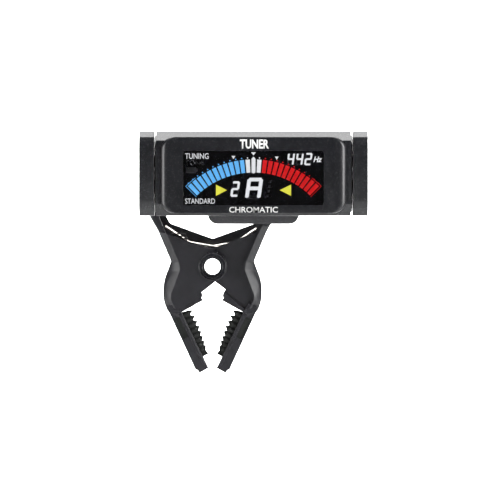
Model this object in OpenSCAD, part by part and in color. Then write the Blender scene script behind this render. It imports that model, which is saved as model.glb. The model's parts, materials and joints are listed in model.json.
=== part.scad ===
// Clip-on instrument tuner: a display head that tilts in a yoke, on a sprung two-jaw clip.
// Millimetres. +X right and +Z up as the user sees the screen, which faces -Y.
// The origin is the centre of the grip between the two pads, midway through the clip's depth.

/* [Display head] */
// Overall width across the yoke's end arms
head_w = 72; // [71:0.5:74]
// Height of the display body
head_h = 26.6; // [26.2:0.2:27]
// Width of each end arm
arm_w = 4.7; // [4.5:0.1:5]
// Wall thickness of the two housings
wall = 1.4; // [1.2:0.1:1.5]

/* [Screen] */
// Width of the screen window
window_w = 44.1; // [42:0.5:46]
// Height of the screen window
window_h = 17; // [16:0.5:17]

/* [Clip] */
// Depth of the clip, front to back
clip_d = 14; // [14:0.5:15]
// Height of the clip's pivot above the grip centre
pivot_z = 20.6; // [20:0.2:21]
// Radius of the see-through bore in the pivot sleeve
pivot_bore_r = 2.55; // [2.3:0.05:2.7]
// Number of teeth on each rubber pad
tooth_count = 8; // [6:1:9]

/* [Hidden] */
$fn = 48;
// How far a cutting shape runs past the surface it cuts
over = 1;

// Colours
charcoal = [0.13, 0.13, 0.15];
charcoal_light = [0.2, 0.2, 0.22];
rubber_black = [0.11, 0.12, 0.11];
steel = [0.75, 0.75, 0.73];
board_green = [0.08, 0.3, 0.16];

// Where the display head's tilt axis is
head_x = 13.1;
head_z = pivot_z + 29.4;
tilt_y = -26;

// The head's own frame: X along the tilt axis, Y to the back, Z up, zero on the axis
half_w = head_w / 2;
arm_in = half_w - arm_w;
body_half = arm_in - 0.65;
step_half = arm_in - 0.25;
step_inset = 1.3;
top_z = head_h / 2;
front_y = -8;
back_y = 8.8;
seam_y = 3.2;
slope_front = -5;
slope_back = 4.5;
head_profile = [
    [front_y, -9.65], [slope_front, -top_z], [slope_back, -top_z], [back_y, -8.5],
    [back_y, 8.5], [slope_back, top_z], [slope_front, top_z], [front_y, 10.3]
];

// Screen: bezel, lens, then the layers behind it
bezel_y = -9.4;
bezel_half = body_half - 1.6;
bezel_slope = 3.2;
bezel_steps = 5;
bezel_end_y = front_y - 0.1;
bezel_low = -12.5;
bezel_high = 11.35;
window_z = -1.5;
window_r = 0.75;
lens_y = bezel_y + 0.15;
lens_t = 1;
panel_y = bezel_y + 1.2;
panel_w = window_w + 2;
panel_h = window_h + 1.4;
guide_y = panel_y + 1.2;
guide_back = guide_y + 1;
frame_y = front_y + 1.5;
frame_back = guide_back + 0.6;
frame_w = window_w + 5;
frame_h = window_h + 2.6;
layer_gap = 0.05;

// Board behind the screen, and what is on it
board_front = frame_back + 0.1;
board_back = board_front + 1;
board_half = 25;
board_low = -10.5;
board_high = 10.8;
board_screw_x = 23.4;
board_screw_z = 9.9;
board_screw_r = 0.8;
board_boss_r = 1.5;
switch_z = 8.6;
switch_h = 1.8;
switch_half = 1.8;

// Screws that hold the two housings together
housing_screw_x = 27.6;
housing_screw_z = 6.2;
housing_screw_r = 0.7;
screw_head_r = 1.4;
screw_head_y = back_y - 1.6;

// Piezo sensor against the inside of the rear housing
piezo_x = 23.4;
piezo_z = 5.75;
piezo_r = 2.1;
piezo_y = back_y - wall;
piezo_t = 0.3;

// Battery: a standard AAA cell lying along the head
cell_r = 5.25;
cell_len = 43.7;
cell_tip = 0.9;
cell_y = 2.5;
cell_z = -3;
bay_half = 25.2;
bay_r = cell_r + 0.3;
contact_t = 0.35;
contact_half = 4;
spring_turns = 2;
spring_wire = 0.35;
spring_base = -bay_half + 1.4;
cover_half_w = 21;
cover_low = -8.4;
cover_high = 7.6;
cover_t = 0.9;

// Buttons on the top face
button_y = -0.6;
button_d = 3.4;
button_sunk = 0.1;
switch_gap = 0.35;
button_flange = 0.6;
button_fit = 0.1;
big_button_w = 8;
small_button_w = 5;
power_x = -20;
mode_x = -9;
down_x = 9;
up_x = 17;
button_places = [
    [power_x, big_button_w], [mode_x, big_button_w], [down_x, small_button_w], [up_x, small_button_w]
];

// Yoke
// Its end arms are rounder at the front than the body between them
arm_profile = [
    [front_y, -8.3], [-7.75, -9.6], [-7.2, -11], [slope_front, -top_z], [slope_back, -top_z], [back_y, -8.5],
    [back_y, 8.5], [slope_back, top_z], [slope_front, top_z], [-6.9, 11.4], [-7.6, 10.1], [front_y, 8.9]
];
bar_front = 14.6;
bar_back = 17.6;
tab_half = 14.5;
tab_low = -15.8;
pin_r = 2;
pin_head_r = 3.3;
run_gap = 0.05;
washer_t = 0.3;
pocket_x = half_w - 2.5;
cover_depth = 0.9;
swivel_z = -5.4;
swivel_r = 2.5;
swivel_head_r = 4.2;
swivel_cap_r = 5;
swivel_cap_t = 0.5;
swivel_disc_r = 8;
friction_t = 0.4;
disc_front = bar_back + friction_t;
disc_t = 4;
screw_tip_y = bar_back + 3.4;

// Clip
plate_out = clip_d / 2;
plate_in = plate_out - 1.5;
ear_out = plate_in - 0.15;
ear_in = ear_out - 1.4;
arm_y = plate_out - 0.6;
sleeve_r = 3.4;
lobe_r = 4.7;
arm_top = [-14.84, -13.33];
arm_dir = [0.431, -0.902];
arm_in_dir = [0.902, 0.431];
chamfer_d = 2;
chamfer_steps = 4;
bulge_d = 3.4;
cuff_proud = 0.35;
rib_proud = 0.25;
plug_d = 1;
sleeve_flange_r = 4.5;
sleeve_flange_t = 0.45;
sleeve_recess_r = 4.1;
pad_half = 5.2;
pad_start = 3.4;
pad_end = 19.1;
pad_base = 3.9;
tooth_edge = 1.8;
tooth_pitch = 1.95;

// Torsion spring round the sleeve, hanging a little high on it
coil_r = 5.35;
coil_z = 0.95;
coil_wire = 0.5;
coil_half = 2.6;
coil_lean = 100;
coil_turns = 4 - (2 * coil_lean - 180) / 360;
coil_leg = [[7.6, 7.7], [15.2, 12.9]];

// Left jaw's outlines about the pivot: corners [x, z, radius] of its outer edge, from the handle's
// end to the cuff, for the whole silhouette, the chamfer's outer edge and the flat plate's edge
outer_full = [
    [-22.6, 20.5, 1], [-17.3, 11.1, 20], [-13.3, 1.7, 1.2],
    [-14.6, -1.7, 6], [-17.1, -8.4, 15], [-14.4, -14.2, 0]
];
outer_edge = [
    [-22.6, 20.5, 1], [-17.3, 11.1, 20], [-13.3, 1.7, 1.2],
    [-13.4, -1.6, 3], [-16.7, -9.2, 10], [-14.4, -14.2, 0]
];
outer_face = [
    [-20, 20.5, 1], [-14.4, 10.2, 20], [-10.6, 1.2, 1.5],
    [-10.2, -1, 2], [-13.5, -10, 3], [-12, -13.2, 0]
];
inner_side = [
    [-9.8, -13.9, 0], [-4.1, -8.8, 0], [-3.4, -8.2, 0], [0.8, -4.9, 0], [3, -3, 0],
    [4, 2, 0], [2.2, 6.5, 0], [0.4, 8.8, 0], [-13.8, 13.9, 2], [-17.9, 21.7, 0]
];
cavity = [
    [-20.4, 24], [-15, 10.6], [-11, 1.2], [-11.2, -1.6], [-13.6, -9], [-12.4, -12],
    [-9.8, -13], [-4.2, -7.9], [-3.6, -9.5], [12, -9.5], [12, 26]
];

// Parts of the arm below the ears, as [along the arm, across it]
arm_bar = [
    [-0.5, 0.3], [-0.3, 3.6], [2.9, 3.9], [22.8, 3.9],
    [23.05, 4.3], [23.3, 0.6], [22.3, 0.6], [21.7, 0]
];
arm_cuff = [[-0.4, 0.3], [-0.2, 3.6], [3.2, 3.9], [3.5, 2.7], [1.6, 0.15]];
arm_shelf = [
    [2.6, 3.6], [0.5, 11.6], [0.4, 12.5], [1.4, 12.2],
    [2, 11.5], [2.8, 11.9], [3.2, 5.9], [3.3, 3.6]
];
arm_rib = [[3.7, 2.8], [3.7, 3.7], [21.5, 3.7], [21.5, 2.8]];
arm_window = [[4.2, 0.65], [4.2, 2.5], [11.4, 2.5], [11.4, 0.65]];

// ---- Helpers ----

function unit(v) = v / norm(v);
function flat(p) = [p[0], p[1]];

// Corner b of the path a-b-c as an arc of radius r
function arc_corner(a, b, c, r, steps) =
    let (
        u = unit(a - b),
        w = unit(c - b),
        half = acos(u * w) / 2,
        centre = b + unit(u + w) * r / sin(half),
        p = b + u * r / tan(half) - centre,
        q = b + w * r / tan(half) - centre,
        sweep = 180 - 2 * half
    )
    [for (i = [0:steps])
        let (f = i / steps)
        centre + (p * sin((1 - f) * sweep) + q * sin(f * sweep)) / sin(sweep)];

// A closed outline from corners [x, z, radius]
function rounded(corners, steps = 6) =
    let (n = len(corners))
    [for (i = [0:n - 1])
        let (a = flat(corners[(i + n - 1) % n]), b = flat(corners[i]), c = flat(corners[(i + 1) % n]))
        each (corners[i][2] == 0 ? [b] : arc_corner(a, b, c, corners[i][2], steps))];

// A convex outline moved inwards by d on every side
function inset(points, d) =
    let (n = len(points))
    [for (i = [0:n - 1])
        let (
            a = points[(i + n - 1) % n], b = points[i], c = points[(i + 1) % n],
            u = unit(b - a), w = unit(c - b),
            normal_u = [-u[1], u[0]], normal_w = [-w[1], w[0]]
        )
        b + (normal_u + normal_w) * d / (1 + normal_u * normal_w)];

// A flat XZ shape, given thickness from y0 to y1
module slab_y(y0, y1) {
    translate([0, y1, 0]) rotate([90, 0, 0]) linear_extrude(y1 - y0) children();
}

// A flat YZ shape, given thickness from x0 to x1
module slab_x(x0, x1) {
    translate([x0, 0, 0]) rotate([90, 0, 90]) linear_extrude(x1 - x0) children();
}

module rod_y(x, z, r, y0, y1) {
    translate([x, y1, z]) rotate([90, 0, 0]) cylinder(h = y1 - y0, r = r);
}

module rod_x(y, z, r, x0, x1) {
    translate([x0, y, z]) rotate([0, 90, 0]) cylinder(h = x1 - x0, r = r);
}

module block(x0, x1, y0, y1, z0, z1) {
    translate([x0, y0, z0]) cube([x1 - x0, y1 - y0, z1 - z0]);
}

module round_rect(w, h, r) {
    polygon(rounded([[-w / 2, -h / 2, r], [w / 2, -h / 2, r], [w / 2, h / 2, r], [-w / 2, h / 2, r]]));
}

module at_head() {
    translate([head_x, tilt_y, head_z]) children();
}

module at_pivot() {
    translate([0, 0, pivot_z]) children();
}

module both_sides() {
    children();
    mirror([1, 0, 0]) children();
}

// ---- Display head ----

module housing_blank() {
    slab_x(-body_half, body_half) polygon(head_profile);
    slab_x(-step_half, step_half) polygon(inset(head_profile, step_inset));
}

module housing_inside() {
    slab_x(-body_half + wall, body_half - wall) polygon(inset(head_profile, wall));
}

module at_housing_screws() {
    both_sides() for (side = [-1, 1]) translate([housing_screw_x, 0, side * housing_screw_z]) children();
}

// Raised screen surround, whose left and right ends curve down in a quarter of an ellipse
module bezel() {
    tall = bezel_high - bezel_low;
    corner_in = 1.6;
    corner_out = 3.9;
    translate([0, 0, (bezel_low + bezel_high) / 2]) hull() {
        for (k = [0:bezel_steps])
            let (a = 90 * k / bezel_steps, y = bezel_y + (bezel_end_y - bezel_y) * (1 - cos(a)))
            slab_y(y, y + 0.02)
                round_rect(2 * (bezel_half - bezel_slope * (1 - sin(a))), tall,
                    corner_in + (corner_out - corner_in) * sin(a));
        slab_y(front_y, slope_front - 0.4) round_rect(2 * bezel_half, tall, corner_out);
    }
}

module screen_pockets() {
    translate([0, 0, window_z]) {
        slab_y(bezel_y - over, 0) round_rect(window_w + 2 * layer_gap, window_h + 2 * layer_gap, window_r);
        slab_y(panel_y, frame_y) square([panel_w + 1.1, panel_h + 0.7], center = true);
        slab_y(frame_y, board_front)
            square([frame_w + 2 * layer_gap, frame_h + 2 * layer_gap], center = true);
    }
}

module button_holes() {
    for (place = button_places)
        block(place[0] - place[1] / 2 - button_fit, place[0] + place[1] / 2 + button_fit,
            button_y - button_d / 2 - button_fit, button_y + button_d / 2 + button_fit,
            top_z - 3, top_z + over);
}

module front_housing() {
    pin_boss_r = 4;
    color(charcoal) at_head() difference() {
        union() {
            difference() {
                union() {
                    housing_blank();
                    bezel();
                }
                housing_inside();
            }
            both_sides() rod_x(0, 0, pin_boss_r, body_half - 4.4, body_half - 0.2);
            at_housing_screws() rod_y(0, 0, 1.5, front_y + 1, seam_y);
            both_sides() rod_y(board_screw_x, board_screw_z, board_boss_r, front_y + wall, board_front);
        }
        slab_y(seam_y, 2 * back_y) square(3 * half_w, center = true);
        screen_pockets();
        both_sides() rod_x(0, 0, pin_r, body_half - 3, body_half + over);
        at_housing_screws() rod_y(0, 0, housing_screw_r, -4, seam_y + over);
        both_sides()
            rod_y(board_screw_x, board_screw_z, board_screw_r, board_front - 1.2, board_front + over);
        button_holes();
    }
}

module rear_housing() {
    bay_low = cell_z - bay_r;
    bay_high = cell_z + bay_r;
    cover_fit = 0.15;
    color(charcoal) at_head() difference() {
        union() {
            difference() {
                housing_blank();
                housing_inside();
            }
            at_housing_screws() rod_y(0, 0, 1.7, seam_y, back_y - 0.2);
            difference() {
                block(-bay_half, bay_half, seam_y, back_y - 0.4, bay_low - 1, bay_high + 1);
                block(-bay_half + 1, bay_half - 1, seam_y - over, back_y + over, bay_low, bay_high);
            }
        }
        slab_y(-2 * back_y, seam_y) square(3 * half_w, center = true);
        block(-cover_half_w - cover_fit, cover_half_w + cover_fit,
            back_y - cover_t - layer_gap, back_y + over, -top_z - over, cover_high + cover_fit);
        block(-bay_half + 2.2, bay_half - 2.2, seam_y, back_y + over, bay_low, bay_high);
        at_housing_screws() {
            rod_y(0, 0, 0.9, seam_y - over, back_y + over);
            rod_y(0, 0, 1.5, screw_head_y, back_y + over);
        }
    }
}

module display_lens() {
    color([0.1, 0.1, 0.12, 0.5]) at_head() translate([0, 0, window_z])
        slab_y(lens_y, lens_y + lens_t) round_rect(window_w, window_h, window_r);
}

module lcd_panel() {
    color([0.04, 0.04, 0.06]) at_head() translate([0, 0, window_z])
        slab_y(panel_y, guide_y) square([panel_w, panel_h], center = true);
}

module backlight_guide() {
    color([0.85, 0.88, 0.9]) at_head() translate([0, 0, window_z])
        slab_y(guide_y, guide_back) square([panel_w, panel_h - 0.4], center = true);
}

module lcd_frame() {
    color([0.8, 0.8, 0.78]) at_head() translate([0, 0, window_z]) difference() {
        slab_y(frame_y, frame_back) square([frame_w, frame_h], center = true);
        slab_y(front_y, guide_back)
            square([panel_w + 2 * layer_gap, panel_h + 2 * layer_gap], center = true);
    }
}

module main_board() {
    color(board_green) at_head() difference() {
        block(-board_half, board_half, board_front, board_back, board_low, board_high);
        both_sides()
            rod_y(board_screw_x, board_screw_z, board_screw_r, board_front - over, board_back + over);
    }
}

// One part on the board: its left end, bottom, width, height and thickness
module chip(x, z, w, h, t) {
    block(x, x + w, board_back, board_back + t, z, z + h);
}

module board_chips() {
    color([0.06, 0.06, 0.07]) at_head() {
        chip(-4, 3.6, 7, 5.8, 1);
        chip(-14, 5, 3.5, 3, 0.9);
        chip(12, 4, 3, 3, 0.9);
        for (i = [0:1]) chip(-18 + 3 * i, 4.6, 1, 1.6, 0.6);
        for (i = [0:2]) chip(5 + 2 * i, 6, 1, 1.6, 0.6);
    }
}

module board_screws() {
    color(steel) at_head() both_sides() {
        rod_y(board_screw_x, board_screw_z, board_screw_r, board_front - 1, board_back);
        rod_y(board_screw_x, board_screw_z, 1.3, board_back, board_back + 0.8);
    }
}

module tact_switches() {
    plunger_half = 0.7;
    body_t = 2.8;
    color([0.85, 0.83, 0.75]) at_head() for (place = button_places) {
        block(place[0] - switch_half, place[0] + switch_half, board_back, board_back + body_t,
            switch_z, switch_z + switch_h - 0.3);
        block(place[0] - plunger_half, place[0] + plunger_half, board_back + 0.9, board_back + 2.2,
            switch_z + switch_h - 0.3, switch_z + switch_h);
    }
}

module button(x, w) {
    flange_z = switch_z + switch_h + switch_gap;
    at_head() {
        block(x - w / 2, x + w / 2, button_y - button_d / 2, button_y + button_d / 2,
            flange_z, top_z - button_sunk);
        block(x - w / 2 - button_flange, x + w / 2 + button_flange,
            button_y - button_d / 2, button_y + button_d / 2, flange_z, top_z - wall - layer_gap);
    }
}

module power_button() {
    color(charcoal_light) button(power_x, big_button_w);
}

module mode_button() {
    color(charcoal_light) button(mode_x, big_button_w);
}

module calibration_down_button() {
    color(charcoal_light) button(down_x, small_button_w);
}

module calibration_up_button() {
    color(charcoal_light) button(up_x, small_button_w);
}

module housing_screws() {
    slot_half = 0.2;
    color(steel) at_head() at_housing_screws() difference() {
        union() {
            rod_y(0, 0, housing_screw_r, -3, screw_head_y);
            rod_y(0, 0, screw_head_r, screw_head_y, screw_head_y + 1);
        }
        block(-1, 1, screw_head_y + 0.6, back_y, -slot_half, slot_half);
        block(-slot_half, slot_half, screw_head_y + 0.6, back_y, -1, 1);
    }
}

module piezo_plate() {
    color([0.8, 0.65, 0.3]) at_head() rod_y(piezo_x, piezo_z, piezo_r, piezo_y - piezo_t, piezo_y);
}

module piezo_ceramic() {
    color([0.9, 0.9, 0.85]) at_head()
        rod_y(piezo_x, piezo_z, piezo_r - 0.6, piezo_y - 2 * piezo_t, piezo_y - piezo_t);
}

module piezo_leads() {
    color([0.7, 0.1, 0.1]) at_head() for (side = [-1, 1])
        rod_y(piezo_x + 0.5 * side, piezo_z, 0.25, board_back, piezo_y - 2 * piezo_t);
}

module battery_cell() {
    color([0.75, 0.6, 0.25]) at_head() {
        rod_x(cell_y, cell_z, cell_r, -cell_len / 2, cell_len / 2);
        rod_x(cell_y, cell_z, 1.7, cell_len / 2, cell_len / 2 + cell_tip);
    }
}

// Upright contact plate in the battery bay, from x inwards
module contact_plate(x) {
    block(x, x + contact_t, seam_y + 0.2, back_y - 2, cell_z - contact_half, cell_z + contact_half);
}

module battery_plus_contact() {
    x = cell_len / 2 + cell_tip;
    lead_half = 1.2;
    color(steel) at_head() {
        contact_plate(x);
        block(x, x + contact_t, board_back, seam_y + 0.2, cell_z - lead_half, cell_z + lead_half);
    }
}

// A round wire swept along points, none of which runs along axis, with sides corners to each ring
module wire(points, r, sides, axis) {
    n = len(points);
    function tangent(i) = unit(points[min(i + 1, n - 1)] - points[max(i - 1, 0)]);
    rings = [for (i = [0:n - 1])
        let (t = tangent(i), side = unit(cross(t, axis)), up = cross(side, t))
        each [for (k = [0:sides - 1])
            points[i] + r * (cos(360 * k / sides) * side + sin(360 * k / sides) * up)]];
    first = [for (k = [0:sides - 1]) sides - 1 - k];
    final = [for (k = [0:sides - 1]) (n - 1) * sides + k];
    walls = [for (i = [0:n - 2], k = [0:sides - 1])
        let (a = i * sides + k, b = i * sides + (k + 1) % sides)
        each [[a, b, b + sides], [a, b + sides, a + sides]]];
    polyhedron(rings, concat([first, final], walls));
}

module battery_minus_spring() {
    start = spring_base + spring_wire - 0.1;
    tip = -cell_len / 2 - spring_wire;
    steps = spring_turns * 16;
    wide = 3;
    narrow = 1.8;
    color(steel) at_head() {
        contact_plate(spring_base - contact_t);
        wire([for (i = [0:steps])
            let (f = i / steps, a = 360 * spring_turns * f, r = wide + (narrow - wide) * f)
            [start + (tip - start) * f, cell_y + r * cos(a), cell_z + r * sin(a)]
        ], spring_wire, 6, [1, 0, 0]);
    }
}

module battery_cover() {
    tab_x = 12;
    tab_half_w = 2;
    groove_half = 5;
    color(charcoal) at_head() difference() {
        union() {
            block(-cover_half_w, cover_half_w, back_y - cover_t, back_y, cover_low, cover_high);
            both_sides() block(tab_x - tab_half_w, tab_x + tab_half_w, back_y - cover_t, back_y,
                cover_low - 0.8, cover_low);
        }
        for (i = [0:3])
            block(-groove_half, groove_half, back_y - 0.35, back_y + over, 2.6 + 1.1 * i, 3.1 + 1.1 * i);
    }
}

module hinge_pin() {
    color(steel) {
        rod_x(0, 0, pin_r, body_half - 2.8, pocket_x + washer_t);
        rod_x(0, 0, pin_head_r, pocket_x + washer_t, pocket_x + washer_t + 1);
    }
}

module left_hinge_pin() {
    at_head() mirror([1, 0, 0]) hinge_pin();
}

module right_hinge_pin() {
    at_head() hinge_pin();
}

module hinge_spring_washers() {
    color(steel) at_head() both_sides() difference() {
        rod_x(0, 0, pin_head_r, pocket_x, pocket_x + washer_t);
        rod_x(0, 0, pin_r, pocket_x - over, pocket_x + over);
    }
}

// ---- Yoke ----

module end_arm() {
    difference() {
        union() {
            slab_x(arm_in, half_w) polygon(arm_profile);
            slab_x(arm_in, half_w) polygon([
                [2, -9], [bar_front, -7.5], [bar_back, -6], [bar_back, 6], [bar_front, 7.5], [2, 9]
            ]);
        }
        slab_x(half_w - cover_depth, half_w + over) polygon(inset(arm_profile, 1));
        rod_x(0, 0, pin_head_r + 0.2, pocket_x, half_w + over);
        rod_x(0, 0, pin_r + run_gap, arm_in - over, half_w);
    }
}

module yoke_frame() {
    bar_end = arm_in + 1;
    seat_depth = 1.9;
    color(charcoal) at_head() difference() {
        union() {
            both_sides() end_arm();
            slab_y(bar_front, bar_back) polygon(rounded([
                [-bar_end, 6, 0], [-bar_end, -6, 0], [-20, -7.5, 3], [-tab_half, -10, 3],
                [-tab_half, tab_low, 3], [tab_half, tab_low, 3], [tab_half, -10, 3], [20, -7.5, 3],
                [bar_end, -6, 0], [bar_end, 6, 0]
            ]));
        }
        rod_y(0, swivel_z, swivel_r + run_gap, bar_front - over, bar_back + over);
        rod_y(0, swivel_z, swivel_head_r + 0.2, bar_front - over, bar_front + seat_depth);
        rod_y(0, swivel_z, swivel_cap_r + layer_gap, bar_front - over, bar_front + swivel_cap_t);
    }
}

module arm_cover() {
    color(charcoal) slab_x(half_w - cover_depth, half_w) polygon(inset(arm_profile, 1 + layer_gap));
}

module left_arm_cover() {
    at_head() mirror([1, 0, 0]) arm_cover();
}

module right_arm_cover() {
    at_head() arm_cover();
}

module swivel_cap() {
    color(charcoal) at_head() rod_y(0, swivel_z, swivel_cap_r, bar_front, bar_front + swivel_cap_t);
}

module swivel_screw() {
    color(steel) at_head() {
        rod_y(0, swivel_z, swivel_head_r, bar_front + 0.6, bar_front + 1.6);
        rod_y(0, swivel_z, swivel_r, bar_front + 1.6, screw_tip_y);
    }
}

module swivel_spring_washer() {
    color(steel) at_head() difference() {
        rod_y(0, swivel_z, swivel_head_r - 0.2, bar_front + 1.6, bar_front + 1.6 + washer_t);
        rod_y(0, swivel_z, swivel_r, bar_front, bar_back);
    }
}

module swivel_friction_washer() {
    color([0.85, 0.85, 0.8]) at_head() difference() {
        rod_y(0, swivel_z, swivel_disc_r - 0.5, bar_back, disc_front);
        rod_y(0, swivel_z, swivel_r, bar_back - over, bar_back + over);
    }
}

// ---- Clip ----
// Every outline is the left jaw's, about the pivot. The right jaw mirrors it.

function shell(outer) = rounded(concat(outer, inner_side), 5);

function between(from, to, f) = [for (i = [0:len(from) - 1]) from[i] + (to[i] - from[i]) * f];

function arm_point(s, t) = arm_top + s * arm_dir + t * arm_in_dir;

function arm_path(pairs) = [for (p = pairs) arm_point(p[0], p[1])];

// The chamfer runs in steps, each a slab a little wider than the one before
module jaw_shell() {
    step_y = chamfer_d / chamfer_steps;
    for (k = [0:chamfer_steps - 1])
        slab_y(-plate_out + k * step_y, plate_out - k * step_y)
            polygon(between(shell(outer_face), shell(outer_edge), (k + 0.5) / chamfer_steps));
    slab_y(-plate_out + chamfer_d, plate_out - chamfer_d) polygon(shell(outer_edge));
    slab_y(-plate_out + bulge_d, plate_out - bulge_d) polygon(shell(outer_full));
}

module jaw_cavity(half_depth) {
    slab_y(-half_depth, half_depth) polygon(cavity);
}

// Bar of the arm below the ears, its cuff, the shelf above the pad, and the rib beside the pad
module jaw_arm() {
    difference() {
        union() {
            slab_y(-arm_y, arm_y) polygon(arm_path(arm_bar));
            slab_y(-arm_y - cuff_proud, arm_y + cuff_proud) polygon(arm_path(arm_cuff));
            slab_y(-arm_y, arm_y) polygon(arm_path(arm_shelf));
            slab_y(-arm_y - rib_proud, arm_y + rib_proud) polygon(arm_path(arm_rib));
        }
        for (face = [-1, 1]) translate([0, face * arm_y, 0])
            slab_y(-plug_d, plug_d) polygon(arm_path(arm_window));
    }
}

// Ribs in the left handle in front of the spring's leg, and a post at their end
module handle_ribs() {
    rib_back = -3.3;
    for (i = [0:2])
        block(-15.4, -8.3 - 0.1 * i, -plate_in, rib_back, 8.75 + i * 0.75, 9.15 + i * 0.75);
    block(-8.5, -8.1, -plate_in, rib_back, 7.8, 9.5);
}

module left_jaw() {
    front_opening = [[-1.7, 6.05], [-15.2, 10.7], [-26, 13], [-26, 26], [8, 26], [8, 6.05]];
    past_pivot = [[2, -12], [12, -12], [12, 12], [0.45, 8.8], [0.45, 0], [0.8, -4.9]];
    rear_lobe = [[-2, 7], [0.45, 8.8], [2.4, 6.5], [4.3, 1.8], [0, 0]];
    color(charcoal) at_pivot() difference() {
        union() {
            difference() {
                jaw_shell();
                jaw_cavity(plate_in);
                slab_y(-plate_out - over, -plate_in) polygon(front_opening);
                slab_y(-plate_out - over, plate_out + over) polygon(past_pivot);
            }
            for (y = [-plate_out, plate_in]) rod_y(0, 0, lobe_r, y, y + plate_out - plate_in);
            slab_y(plate_in, plate_out) polygon(rear_lobe);
            jaw_arm();
            handle_ribs();
        }
        rod_y(0, 0, sleeve_r + run_gap, -plate_out - over, plate_out + over);
    }
}

// Disc at the top of the right handle that carries the head, and its neck
module swivel_boss() {
    neck = [[2, swivel_z - 7.5], [3.3, -17], [9, -14], [8.6, -9.4], [8, swivel_z + 1]];
    at_head() difference() {
        union() {
            rod_y(0, swivel_z, swivel_disc_r, disc_front, disc_front + disc_t);
            slab_y(disc_front + 1.2, disc_front + disc_t - 0.3) polygon(neck);
        }
        rod_y(0, swivel_z, swivel_r, disc_front - over, screw_tip_y);
    }
}

module right_jaw() {
    // What is cut back to the inset ears, which run between the left jaw's plates
    ear_side = [
        [9.2, 0.3], [13, -9.9], [11.6, -12.4], [10.2, -13.4], [-12, -26],
        [-12, 26], [16.6, 26], [16.6, 15], [14.2, 10.6]
    ];
    front_opening = [[1.15, 6.2], [12, 10.3], [14, 11], [14, 26], [-8, 26], [-8, 6.2]];
    past_pivot = [[-2, -12], [-12, -12], [-12, 12], [-0.45, 8.8], [-0.45, 0], [-0.8, -4.9]];
    rear_lobe = [[2, 7], [-0.45, 8.8], [-2.4, 6.5], [-4.3, 1.8], [0, 0]];
    cut_d = 6;
    color(charcoal) {
        at_pivot() difference() {
            union() {
                difference() {
                    mirror([1, 0, 0]) jaw_shell();
                    mirror([1, 0, 0]) jaw_cavity(ear_in);
                    slab_y(-ear_out - cut_d, -ear_out) polygon(ear_side);
                    slab_y(ear_out, ear_out + cut_d) polygon(ear_side);
                    slab_y(-plate_out - over, -ear_in) polygon(front_opening);
                    slab_y(-plate_out - over, plate_out + over) polygon(past_pivot);
                }
                for (y = [-ear_out, ear_in]) rod_y(0, 0, lobe_r, y, y + ear_out - ear_in);
                slab_y(ear_in, ear_out) polygon(rear_lobe);
                mirror([1, 0, 0]) jaw_arm();
            }
            rod_y(0, 0, sleeve_r, -plate_out - over, plate_out + over);
        }
        swivel_boss();
    }
}

// A tooth's place along the pad and its depth, and the line of the teeth's tips
function tooth_s(i) = pad_start + 0.8 + tooth_pitch * i - 0.03 * i * i;
function tooth_h(i) = 1.15 - 0.09 * i;
function pad_line(s) = s < 9.8 ? 7.2 : 7.2 - (s - 9.8) * 0.147;

// The pad's outline, its teeth lowered by drop
function pad_outline(drop) = concat(
    [arm_point(pad_start, pad_base)],
    [for (i = [0:tooth_count - 1])
        let (s = tooth_s(i), tip = pad_line(s) - drop)
        each [
            arm_point(s - 0.45, tip - tooth_h(i)), arm_point(s + 0.05, tip),
            arm_point(s + 0.35, tip), arm_point(s + 0.95, tip - tooth_h(i))
        ]],
    [
        arm_point(pad_end - 1.6, pad_line(pad_end) - 0.3 - drop),
        arm_point(pad_end, pad_line(pad_end) - drop),
        arm_point(pad_end, pad_base)
    ]
);

// Toothed pad with two lower edges, and the plugs that show in the arm's windows
module pad() {
    low_edge = 1.3;
    plug_t = 0.4;
    color(rubber_black) at_pivot() {
        slab_y(-pad_half + tooth_edge, pad_half - tooth_edge) polygon(pad_outline(0));
        slab_y(-pad_half, -pad_half + tooth_edge) polygon(pad_outline(low_edge));
        slab_y(pad_half - tooth_edge, pad_half) polygon(pad_outline(low_edge));
        slab_y(-arm_y + plug_d - plug_t, -arm_y + plug_d) polygon(arm_path(arm_window));
        slab_y(arm_y - plug_d, arm_y - plug_d + plug_t) polygon(arm_path(arm_window));
    }
}

module left_pad() {
    pad();
}

module right_pad() {
    mirror([1, 0, 0]) pad();
}

module pivot_sleeve() {
    flange_y = plate_out + sleeve_flange_t;
    color(charcoal_light) at_pivot() difference() {
        union() {
            rod_y(0, 0, sleeve_r, -plate_out, plate_out);
            rod_y(0, 0, sleeve_flange_r, -flange_y, -plate_out);
            rod_y(0, 0, sleeve_flange_r, plate_out, flange_y);
        }
        rod_y(0, 0, pivot_bore_r, -plate_out - over, plate_out + over);
        rod_y(0, 0, sleeve_recess_r, -flange_y - over, -flange_y + 0.3);
    }
}

// One coil round the sleeve, with a bent leg into each handle
module torsion_spring() {
    steps = 76;
    function leg_point(i, side) = [side * coil_leg[i][0], side * coil_half, coil_leg[i][1]];
    color(steel) at_pivot() wire(concat(
        [leg_point(1, 1), leg_point(0, 1)],
        [for (i = [0:steps])
            let (a = coil_lean + 360 * coil_turns * i / steps)
            [coil_r * cos(a), coil_half - 2 * coil_half * i / steps, coil_z + coil_r * sin(a)]],
        [leg_point(0, -1), leg_point(1, -1)]
    ), coil_wire, 8, [0, 1, 0]);
}

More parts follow.
